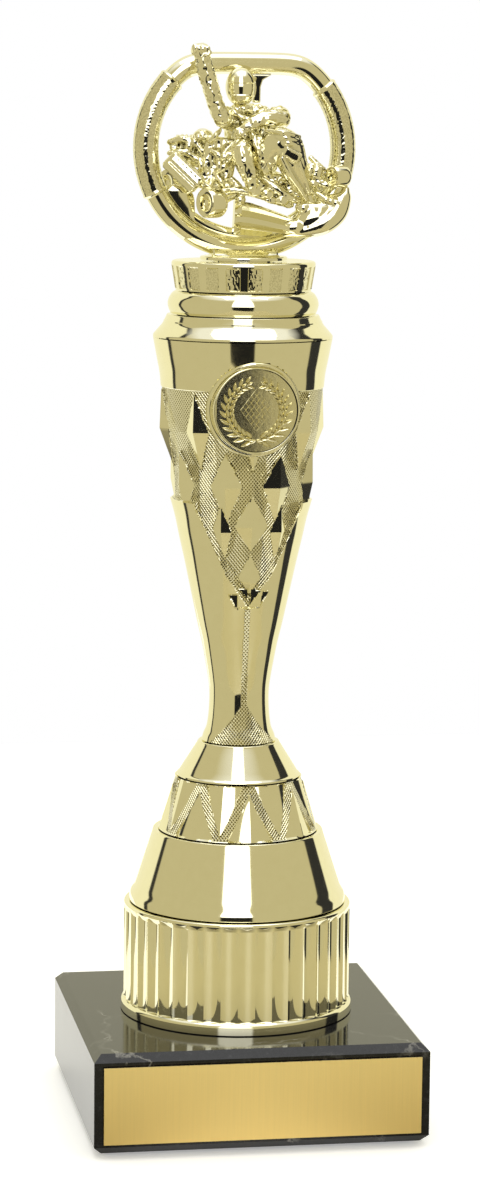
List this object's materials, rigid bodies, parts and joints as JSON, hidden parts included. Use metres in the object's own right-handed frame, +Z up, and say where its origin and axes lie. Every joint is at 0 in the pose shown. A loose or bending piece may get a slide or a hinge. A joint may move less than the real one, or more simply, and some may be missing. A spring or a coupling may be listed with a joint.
{
  "type": "column trophy",
  "caption": "Column trophy: kart racer in a steering-wheel ring on a gold-plated faceted vase column, on a square black marble base with a plate on its front.",
  "frame": {"origin": "centre of the base's footprint, on the surface that the trophy stands on", "axes": "+Z up along the tie rod, -Y out of the front face that carries the plate and the medal, +X to the viewer's right"},
  "size_m": [0.1, 0.1016, 0.3237],
  "materials": {
    "plated_gold": "vacuum-metallised pale gold, mirror gloss",
    "medal_gold": "stamped and gold anodised",
    "plate_gold": "satin gold anodised",
    "black_marble": "polished black marble with sparse pale veins",
    "foot_foam": "foam pad",
    "adhesive_tape": "double-sided foam tape",
    "zinc_steel": "bright zinc plated",
    "brass_insert": "turned"
  },
  "bodies": {
    "base": {"marble_base": "black_marble", "foot_pad_1": "foot_foam", "foot_pad_2": "foot_foam", "foot_pad_3": "foot_foam", "foot_pad_4": "foot_foam", "plate_tape": "adhesive_tape", "name_plate": "plate_gold", "tie_rod": "zinc_steel"},
    "column": {"fluted_foot": "plated_gold", "shoulder_cone": "plated_gold", "faceted_band": "plated_gold", "neck_cone": "plated_gold", "vase_body": "plated_gold", "medal_holder": "plated_gold", "medal_pad": "adhesive_tape", "medal_insert": "medal_gold", "vase_lid": "plated_gold", "rim_collar": "plated_gold", "knurled_ring": "plated_gold"},
    "figure": {"figure_foot": "plated_gold", "threaded_insert": "brass_insert", "wheel_top_bar": "plated_gold", "wheel_lower_arc": "plated_gold", "wheel_grip_left": "plated_gold", "wheel_grip_right": "plated_gold", "wheel_spoke_top": "plated_gold", "wheel_spoke_left": "plated_gold", "kart_side_pod": "plated_gold", "kart_engine": "plated_gold", "kart_wheel_right": "plated_gold", "kart_wheel_rear": "plated_gold", "kart_axle": "plated_gold", "kart_floor": "plated_gold", "kart_bumper": "plated_gold", "kart_nose": "plated_gold", "kart_wheel_left": "plated_gold", "kart_hub_left": "plated_gold", "driver_helmet": "plated_gold", "driver_torso": "plated_gold", "driver_arm_raised": "plated_gold", "driver_arm_bent": "plated_gold", "driver_leg_left": "plated_gold", "driver_leg_right": "plated_gold"},
    "washer": {"base_washer": "zinc_steel"},
    "nut": {"base_nut": "zinc_steel"}
  },
  "joints": [
    {"name": "column_turn", "type": "hinge", "parent": "base", "child": "column", "pos_m": [0, 0, 0.0315], "axis": [0, 0, 1], "continuous": true},
    {"name": "figure_turn", "type": "hinge", "parent": "column", "child": "figure", "pos_m": [0, 0, 0.2596], "axis": [0, 0, 1], "continuous": true},
    {"name": "nut_travel", "type": "slide", "parent": "base", "child": "washer", "axis": [0, 0, -1], "range_m": [0, 0.003]},
    {"name": "nut_spin", "type": "hinge", "parent": "washer", "child": "nut", "pos_m": [0, 0, 0.0105], "axis": [0, 0, -1], "range_deg": [0, 1080]}
  ],
  "couplings": [
    {"joint": "nut_spin", "follows": "nut_travel", "rad_per_m": 6283.2}
  ]
}
